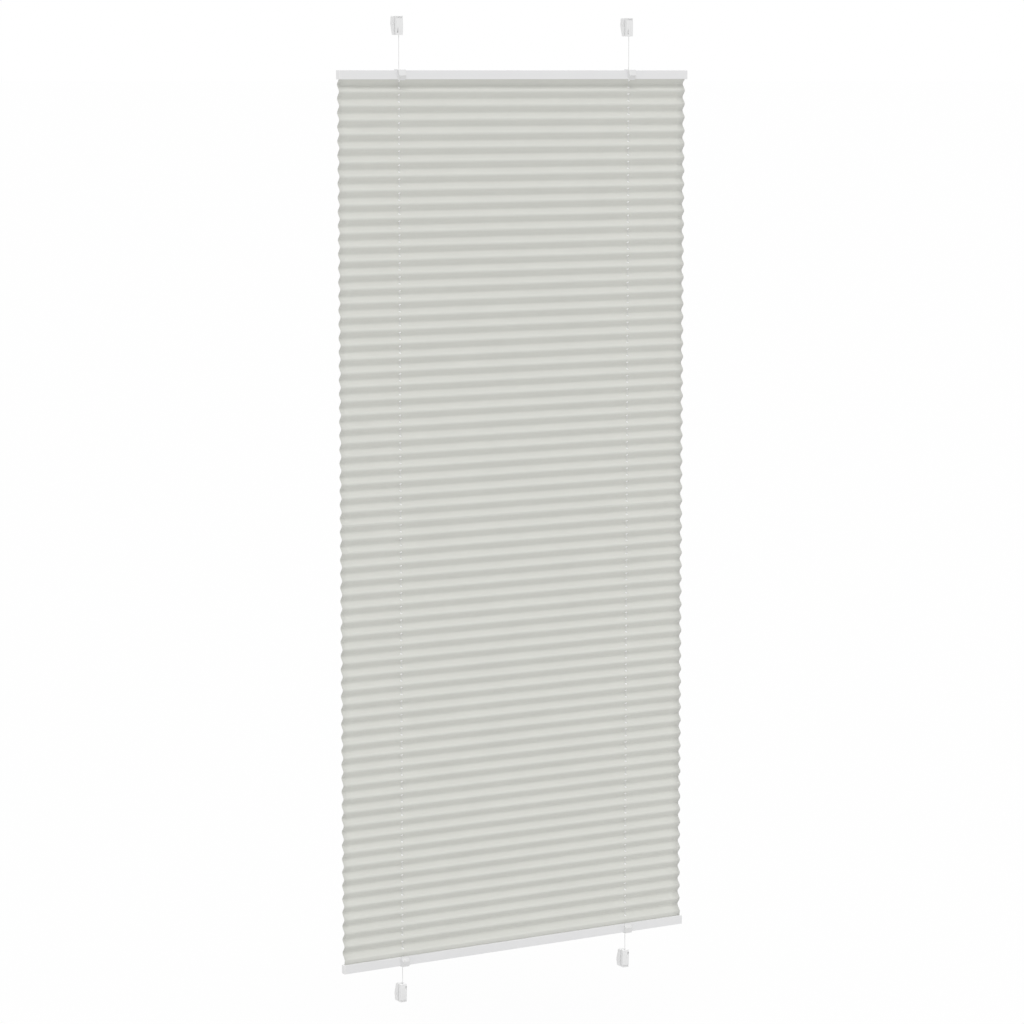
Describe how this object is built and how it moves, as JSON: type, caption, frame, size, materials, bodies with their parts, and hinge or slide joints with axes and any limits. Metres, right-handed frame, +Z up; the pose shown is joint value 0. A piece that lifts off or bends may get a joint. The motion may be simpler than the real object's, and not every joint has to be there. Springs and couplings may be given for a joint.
{
  "type": "pleated blind",
  "caption": "Free-hanging pleated window blind: grey folded fabric between white rails that slide on taut cords held by sash clamps, with a grip on each rail at each cord.",
  "frame": {"origin": "middle of the whole blind's box, clamps and grips included", "axes": "+Z up along the cords, X along the rails, the room side faces -Y"},
  "size_m": [0.9, 0.0442, 2.203],
  "materials": {
    "fabric": "matte woven polyester, folded",
    "rail_white": "satin powder coat on aluminium",
    "white_plastic": "fine moulded texture",
    "inner_plastic": "plain moulding",
    "cord": "braided polyester",
    "screw_steel": "bright zinc plate",
    "spring_steel": "bright spring strip",
    "ferrule": "turned"
  },
  "bodies": {
    "root": {"pleated_fabric": "fabric", "left_cord": "cord", "right_cord": "cord", "bottom_left_clamp_body": "white_plastic", "bottom_left_cord_anchor": "ferrule", "bottom_right_clamp_body": "white_plastic", "bottom_right_cord_anchor": "ferrule", "top_left_clamp_body": "white_plastic", "top_left_cord_anchor": "ferrule", "top_right_clamp_body": "white_plastic", "top_right_cord_anchor": "ferrule"},
    "top_rail": {"top_fabric_strip": "inner_plastic", "top_left_brake_spring": "spring_steel", "top_left_cord_guide": "inner_plastic", "top_left_grip": "white_plastic", "top_rail": "rail_white", "top_rail_left_cap": "white_plastic", "top_rail_right_cap": "white_plastic", "top_right_brake_spring": "spring_steel", "top_right_cord_guide": "inner_plastic", "top_right_grip": "white_plastic"},
    "bottom_rail": {"bottom_fabric_strip": "inner_plastic", "bottom_left_brake_spring": "spring_steel", "bottom_left_cord_guide": "inner_plastic", "bottom_left_grip": "white_plastic", "bottom_rail": "rail_white", "bottom_rail_left_cap": "white_plastic", "bottom_rail_right_cap": "white_plastic", "bottom_right_brake_spring": "spring_steel", "bottom_right_cord_guide": "inner_plastic", "bottom_right_grip": "white_plastic"},
    "bottom_left_clamp_jaw": {"bottom_left_clamp_jaw": "white_plastic"},
    "bottom_left_lock_screw": {"bottom_left_lock_screw": "screw_steel"},
    "bottom_right_clamp_jaw": {"bottom_right_clamp_jaw": "white_plastic"},
    "bottom_right_lock_screw": {"bottom_right_lock_screw": "screw_steel"},
    "top_left_clamp_jaw": {"top_left_clamp_jaw": "white_plastic"},
    "top_left_lock_screw": {"top_left_lock_screw": "screw_steel"},
    "top_right_clamp_jaw": {"top_right_clamp_jaw": "white_plastic"},
    "top_right_lock_screw": {"top_right_lock_screw": "screw_steel"}
  },
  "joints": [
    {"name": "top_rail_slide", "type": "slide", "parent": "root", "child": "top_rail", "axis": [0, 0, -1], "range_m": [0, 0.94], "deforming": ["pleated_fabric"]},
    {"name": "bottom_rail_slide", "type": "slide", "parent": "root", "child": "bottom_rail", "axis": [0, 0, 1], "range_m": [0, 0.94], "deforming": ["pleated_fabric"]},
    {"name": "top_left_jaw_slide", "type": "slide", "parent": "root", "child": "top_left_clamp_jaw", "axis": [0, 1, 0], "range_m": [0, 0.009]},
    {"name": "top_left_screw_turn", "type": "hinge", "parent": "top_left_clamp_jaw", "child": "top_left_lock_screw", "pos_m": [-0.305, 0.00875, 1.0868], "axis": [-1, 0, 0], "range_deg": [0, 360]},
    {"name": "top_right_jaw_slide", "type": "slide", "parent": "root", "child": "top_right_clamp_jaw", "axis": [0, 1, 0], "range_m": [0, 0.009]},
    {"name": "top_right_screw_turn", "type": "hinge", "parent": "top_right_clamp_jaw", "child": "top_right_lock_screw", "pos_m": [0.289, 0.00875, 1.0868], "axis": [-1, 0, 0], "range_deg": [0, 360]},
    {"name": "bottom_left_jaw_slide", "type": "slide", "parent": "root", "child": "bottom_left_clamp_jaw", "axis": [0, 1, 0], "range_m": [0, 0.009]},
    {"name": "bottom_left_screw_turn", "type": "hinge", "parent": "bottom_left_clamp_jaw", "child": "bottom_left_lock_screw", "pos_m": [-0.305, 0.00875, -1.0868], "axis": [-1, 0, 0], "range_deg": [0, 360]},
    {"name": "bottom_right_jaw_slide", "type": "slide", "parent": "root", "child": "bottom_right_clamp_jaw", "axis": [0, 1, 0], "range_m": [0, 0.009]},
    {"name": "bottom_right_screw_turn", "type": "hinge", "parent": "bottom_right_clamp_jaw", "child": "bottom_right_lock_screw", "pos_m": [0.289, 0.00875, -1.0868], "axis": [-1, 0, 0], "range_deg": [0, 360]}
  ]
}
